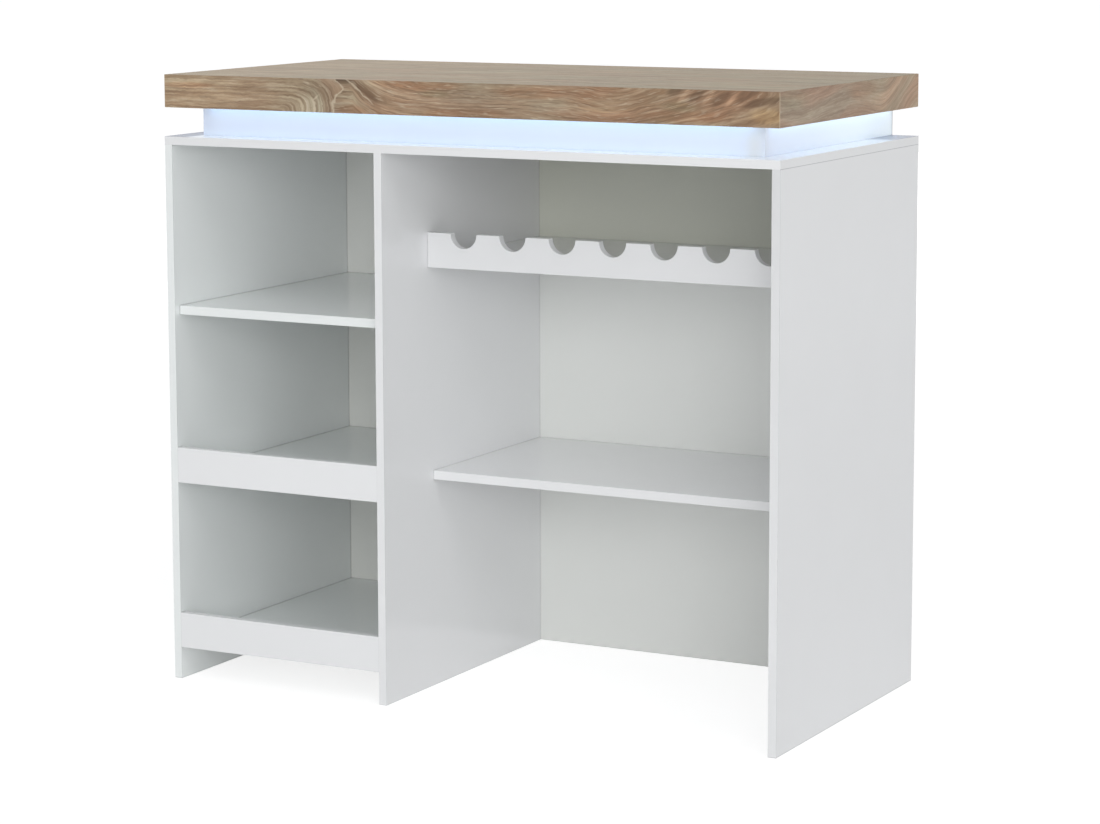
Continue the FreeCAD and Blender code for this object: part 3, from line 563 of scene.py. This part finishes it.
def oak(name, axes, grain, seed, end, crisp=0.48):
    """Matt oak decor: bands, streaks, dashes and pores along the grain; a pale line at its ends.

    axes gives the places along and across the face, grain its figure, seed where it lies in the
    noise, end how far the face goes from its middle, and crisp how clear the streaks are.
    """
    s = Finish(name)
    u, v = axes(s)
    calm = s.fit(u, *CALM_RANGE, CALM_SHARE, 1.0)
    busy = s.times(calm, s.fit(u, *BUSY_RANGE, 1.0, BUSY_SHARE))
    moved = v
    for along, across_it, reach in WARPS:
        at = s.vector(s.times(u, along), s.times(v, across_it), seed + reach)
        shift = s.times(s.minus(s.noise(at, 1.0), 0.5), reach)
        moved = s.sum(moved, s.times(shift, calm))
    lines, stains, vein = grain(s, u, v, moved)
    layers = {}
    for key, (along, across_it, offset, detail, roughness) in LAYERS.items():
        at = s.vector(s.times(u, along), s.times(lines, across_it), seed + offset)
        layers[key] = s.noise(at, 1.0, detail, roughness)
    crowd = s.times(s.fit(layers["crowd"], *ZONE_RANGE, FEWEST_DASHES, 1.0), busy)
    places = {"dash": crowd, "fleck": busy}

    def laid(shade, rows):
        """The rows of a table laid over a shade."""
        for key, nothing, full, strength, colour, blend in rows:
            if nothing < full:
                mask = s.fit(layers[key], nothing, full, 0.0, strength * crisp)
            else:
                mask = s.fit(layers[key], full, nothing, strength * crisp, 0.0)
            if key in places:
                mask = s.times(mask, places[key])
            shade = s.mix(mask, shade, colour, blend)
        return shade

    shade = s.ramp(layers["broad"], GROUND)
    zones = s.mix(s.fit(layers["patch"], *ZONE_RANGE), s.tinted(1.0, shade, RED_ZONE),
                  s.tinted(1.0, shade, GREY_ZONE))
    shade = s.mix(calm, s.tinted(1.0, shade, CALM_ZONE), zones)
    shade = laid(shade, STREAKS)
    for tint, mask in stains:
        shade = s.tinted(s.fit(mask, *STAIN_RANGE), shade, tint)
    shade = laid(shade, FLECKS)
    if vein is not None:
        shade = s.mix(vein, shade, CREAM)
    # Painted sheen and shade on the top: lighter towards the left end, darker towards the right
    # end.
    top = s.above(s.z, SLAB_HIGH.z - ON_FACE)
    shade = s.tinted(top, shade, s.mix(s.fit(s.x, *TOP_RANGE), *TOP_PAINTED_SHEEN_AND_SHADE))
    rim = s.times(s.line(s.minus(end, s.size(u)), *RIM_LINE), s.minus(1.0, top))
    relief = s.sum(layers["fine"], s.times(layers["pores"], PORE_SHARE))
    s.set(Base_Color=s.mix(rim, shade, CREAM),
          Roughness=s.fit(layers["fine"], *NOISE_RANGE, *OAK_ROUGHNESS),
          Normal=s.bump(relief, RELIEF, RELIEF_STRENGTH))
    return s.material


# Other finishes.
CHIP_SCALE = 420.0
CHIP_COLOURS = [(0.0, (0.36, 0.25, 0.15)), (0.5, (0.52, 0.39, 0.25)), (1.0, (0.66, 0.53, 0.37))]
BEECH_COLOURS = [(0.3, (0.48, 0.31, 0.18)), (0.7, (0.66, 0.47, 0.30))]
# Steps of the flecks for each metre across and along the grain of beech.
BEECH_ACROSS, BEECH_ALONG = 900.0, 90.0
PLAIN_SPREAD = 0.05


def plain(name, colour, roughness, scale, spread, relief=0.0, metallic=0.0):
    """A simple finish with a little cloudiness in its colour and roughness."""
    s = Finish(name)
    cloud = s.noise(s.place, scale, 4.0, 0.6)
    low = tuple(c * (1 - spread) for c in colour)
    high = tuple(min(1.0, c * (1 + spread)) for c in colour)
    s.set(Base_Color=s.mix(s.fit(cloud, *NOISE_RANGE), low, high), Metallic=metallic,
          Roughness=s.fit(cloud, *NOISE_RANGE, roughness - PLAIN_SPREAD, roughness + PLAIN_SPREAD))
    if relief:
        s.set(Normal=s.bump(cloud, relief, 0.6))
    return s.material


def chipboard(name):
    """Raw board of pressed chips."""
    s = Finish(name)
    chips = s.add("ShaderNodeTexVoronoi", {"Vector": s.place, "Scale": CHIP_SCALE})
    tone = s.add("ShaderNodeSeparateXYZ", {0: chips.outputs["Color"]}).outputs[0]
    s.set(Base_Color=s.ramp(tone, CHIP_COLOURS), Normal=s.bump(tone, 0.0002, 0.5), Roughness=0.8)
    return s.material


def beech(name):
    """Raw beech with short flecks that run up."""
    s = Finish(name)
    at = s.vector(s.times(s.x, BEECH_ACROSS), s.times(s.y, BEECH_ACROSS),
                  s.times(s.z, BEECH_ALONG))
    s.set(Base_Color=s.ramp(s.noise(at, 1.0), BEECH_COLOURS), Roughness=0.6)
    return s.material


# Finish of each piece; the pieces that aren't named here get the plain white board.
board = white_board("white_board")
finishes = {
    "left_back_sheet": white_board("white_sheet", roughness=0.15,
                                   tint=inner_face("left_back_sheet", SHEET_PAINTED_LIGHT, SHEET_PAINTED_LIGHT)),
    "right_back_board": white_board("back_board", roughness=0.35, joint=0.8,
                                    tint=inner_face("right_back_board", BACK_PAINTED_SHADE, BOTTLE_SPACE_PAINTED_SHADE)),
    "bottle_shelf": white_board("shelf_board", joint=0.8),
    "worktop_front_apron": oak("oak_front", front_axes, grain_front, 1.0, SLAB_HIGH.x, 0.9),
    "worktop_rear_apron": oak("oak_rear", rear_axes, grain_side, 31.0, SLAB_HIGH.x),
    "worktop_left_apron": oak("oak_left", left_axes, grain_side, 41.0, REAR),
    "worktop_right_apron": oak("oak_right", right_axes, grain_side, 51.0, REAR),
    "light_driver": plain("driver_case", (0.8, 0.8, 0.8), 0.5, 300.0, 0.03, relief=0.00004),
    "power_inlet": plain("inlet_case", (0.03, 0.03, 0.03), 0.45, 400.0, 0.1, relief=0.00004),
    "dowels": beech("beech"),
    "plinth_screws": plain("zinc_plate", (0.62, 0.62, 0.64), 0.3, 200.0, 0.06, metallic=1.0),
}
finishes["worktop_top_board"] = finishes["worktop_front_apron"]
STRIPS = ("front_light_strip", "left_light_strip", "right_light_strip")
SHARED = (
    (chipboard("core_board"),
     ("plinth_cross_rail", "worktop_rib_left", "worktop_rib_middle", "worktop_rib_right")),
    (diffuser("light_diffuser"), STRIPS),
    (white_board("lit_board", colour=PLINTH_PAINTED_SHADE_WHITE, joint=0.85, lit=plinth_glow),
     ("front_plinth_board", "left_plinth_board", "right_plinth_board")),
)
for finish, names in SHARED:
    for name in names:
        finishes[name] = finish

# Boards with an edge band, and where their finish, with its painted light and shade, differs from
# the usual values.
BANDED = ("left_side_panel", "divider_panel", "right_side_panel", "carcass_top_panel",
          "left_bottom_lip", "left_middle_lip", "left_upper_shelf", "right_shelf", "bottle_rail",
          "left_bottom_shelf", "left_middle_shelf")
# Painted light: the whiter white of the left side panel and the left bay's shelves.
PAINTED_LIGHT_COLOURS = {"left_side_panel": LEFT_BAY_PAINTED_LIGHT_WHITE, "left_bottom_shelf": LEFT_BAY_PAINTED_LIGHT_WHITE,
           "left_middle_shelf": LEFT_BAY_PAINTED_LIGHT_WHITE, "left_upper_shelf": LEFT_BAY_PAINTED_LIGHT_WHITE}
ROUGHNESSES = {"left_bottom_shelf": 0.03, "left_middle_shelf": 0.03, "left_upper_shelf": 0.03,
               "carcass_top_panel": 0.2}
# How dark the painted shade in inner corners makes some boards.
JOINT_SHADES = {"divider_panel": 0.8, "right_shelf": 0.65, "bottle_rail": 0.8,
          "carcass_top_panel": 0.85}
# How bright the painted shade leaves some front edges at the top.
EDGE_SHADES = {"right_side_panel": 0.83, "right_shelf": 0.93, "bottle_rail": 0.92,
         "left_bottom_lip": 1.0, "left_middle_lip": 1.0}
LEDGE = {"carcass_top_panel": {"lit": ledge_glow, "tint": ledge_shade}}
for name in BANDED:
    finishes[name] = white_board(
        name + "_finish", front=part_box(name)[0].y, colour=PAINTED_LIGHT_COLOURS.get(name, WHITE),
        roughness=ROUGHNESSES.get(name, GLOSSY), joint=JOINT_SHADES.get(name, JOINT_SHADE),
        edge=EDGE_SHADES.get(name, EDGE_SHADE), **LEDGE.get(name, {}))


# Softened edges; the small hidden pieces keep theirs sharp.
SHARP = ("dowels", "plinth_screws", "light_driver", "power_inlet") + STRIPS
CORNER_GAP = 0.00001
FLAT_ANGLE = math.radians(1.0)
EDGE_ANGLE = math.radians(40.0)
ROUND = 0.0004
ROUND_STEPS = 2
FACE_WEIGHT = 100


def soften(piece):
    """Small rounds on the outer edges, on a copy of the surface with its corners joined."""
    weld = piece.modifiers.new("join", "WELD")
    weld.merge_threshold = CORNER_GAP
    flat = piece.modifiers.new("flat", "DECIMATE")
    flat.decimate_type = "DISSOLVE"
    flat.angle_limit = FLAT_ANGLE
    bevel = piece.modifiers.new("soften", "BEVEL")
    bevel.width = ROUND
    bevel.segments = ROUND_STEPS
    bevel.limit_method = "ANGLE"
    bevel.angle_limit = EDGE_ANGLE
    even = piece.modifiers.new("even", "WEIGHTED_NORMAL")
    even.weight = FACE_WEIGHT


for name, piece in nodes.items():
    for slot in piece.material_slots:
        slot.link = "OBJECT"
        slot.material = finishes.get(name, board)
    if name not in SHARP:
        soften(piece)


# Studio: floor, lamps and world.
HALF = 60.0
FLOOR_GREY = (0.86, 0.86, 0.86, 1.0)
SEEN_GREY = (0.42, 0.42, 0.42, 1.0)
CLEAR = (1.0, 1.0, 1.0, 1.0)
# Between which distances the floor lifts towards white, and how bright it is there.
LIFT_RANGE = (1.5, 7.0)
LIFT_LEVELS = (0.76, 0.87)
LAMP_TARGET = Vector((0.0, 0.0, 0.55))
LAMP_DISTANCE = 12.0
SKY_COLOUR = (0.97, 0.985, 1.0, 1.0)
SKY_LIGHT = 0.35


def floor_material():
    """Pale matt floor; seen by the camera it is lifted towards white and keeps its shadow."""
    material = bpy.data.materials.new("studio_floor")
    s = Nodes(material)
    place = s.add("ShaderNodeTexCoord").outputs["Object"]
    matt = s.add("ShaderNodeBsdfDiffuse", {"Color": FLOOR_GREY}).outputs[0]
    seen = s.add("ShaderNodeBsdfDiffuse", {"Color": SEEN_GREY}).outputs[0]
    away = s.add("ShaderNodeVectorMath", {0: place}, operation="LENGTH").outputs["Value"]
    lift = s.fit(away, *LIFT_RANGE, *LIFT_LEVELS, smooth=True)
    white = s.add("ShaderNodeEmission", {"Color": CLEAR, "Strength": lift}).outputs[0]
    lifted = s.add("ShaderNodeAddShader", {0: seen, 1: white}).outputs[0]
    mixed = s.add("ShaderNodeMixShader", {0: in_view(s), 1: matt, 2: lifted}).outputs[0]
    s.add("ShaderNodeOutputMaterial", {0: mixed})
    return material


def studio_floor():
    corners = [(-HALF, -HALF, 0.0), (HALF, -HALF, 0.0), (HALF, HALF, 0.0), (-HALF, HALF, 0.0)]
    mesh = bpy.data.meshes.new("studio_floor")
    mesh.from_pydata(corners, [], [(0, 1, 2, 3)])
    made = bpy.data.objects.new("studio_floor", mesh)
    bpy.context.scene.collection.objects.link(made)
    mesh.materials.append(floor_material())


def lamp(name, azimuth, elevation, size, power, mirrored=True):
    """A soft box aimed at the object; its azimuth runs from the front towards the right."""
    turn, lift = math.radians(azimuth), math.radians(elevation)
    away = Vector((math.sin(turn) * math.cos(lift), -math.cos(turn) * math.cos(lift),
                   math.sin(lift)))
    data = bpy.data.lights.new(name, "AREA")
    data.shape = "RECTANGLE"
    data.size, data.size_y = size
    data.energy = power
    made = bpy.data.objects.new(name, data)
    made.location = LAMP_TARGET + LAMP_DISTANCE * away
    made.rotation_euler = (-away).to_track_quat("-Z", "Y").to_euler()
    made.visible_glossy = mirrored
    bpy.context.scene.collection.objects.link(made)


def studio_world():
    """Soft sky light; seen by the camera it is white."""
    world = bpy.data.worlds.new("studio")
    s = Nodes(world)
    soft = s.add("ShaderNodeBackground", {"Color": SKY_COLOUR, "Strength": SKY_LIGHT}).outputs[0]
    clear = s.add("ShaderNodeBackground", {"Color": CLEAR, "Strength": 1.0}).outputs[0]
    mixed = s.add("ShaderNodeMixShader", {0: in_view(s), 1: soft, 2: clear}).outputs[0]
    s.add("ShaderNodeOutputWorld", {0: mixed})
    bpy.context.scene.world = world


studio_floor()
lamp("key", 44, 8, (7.0, 3.6), 200.0)
lamp("high", 36, 48, (10.0, 8.0), 400.0)
lamp("fill", 20, 14, (8.0, 5.0), 320.0)
lamp("rear", 188, 4, (4.3, 2.4), 430.0, mirrored=False)
lamp("left", 262, 4, (4.3, 2.4), 360.0, mirrored=False)
studio_world()


# Camera.
CAMERA_PLACE = (2.6819, -4.9819, 1.4092)
YAW, PITCH, ROLL = (math.radians(angle) for angle in (28.132, 8.212, -0.142))
FILM_WIDTH = 36.0
FOCAL_LENGTH = 104.144
SHIFT_UP = -0.05


def set_camera():
    ahead = Vector((-math.sin(YAW) * math.cos(PITCH), math.cos(YAW) * math.cos(PITCH),
                    -math.sin(PITCH)))
    level = Vector((math.cos(YAW), math.sin(YAW), 0.0))
    over = level.cross(ahead)
    right = math.cos(ROLL) * level + math.sin(ROLL) * over
    up = -math.sin(ROLL) * level + math.cos(ROLL) * over
    data = bpy.data.cameras.new("camera")
    data.sensor_width = FILM_WIDTH
    data.lens = FOCAL_LENGTH
    data.shift_y = SHIFT_UP
    camera = bpy.data.objects.new("camera", data)
    turn = Matrix((right, up, -ahead)).transposed().to_4x4()
    camera.matrix_world = Matrix.Translation(CAMERA_PLACE) @ turn
    bpy.context.scene.collection.objects.link(camera)
    bpy.context.scene.camera = camera


set_camera()
bpy.context.scene.view_settings.view_transform = "Standard"
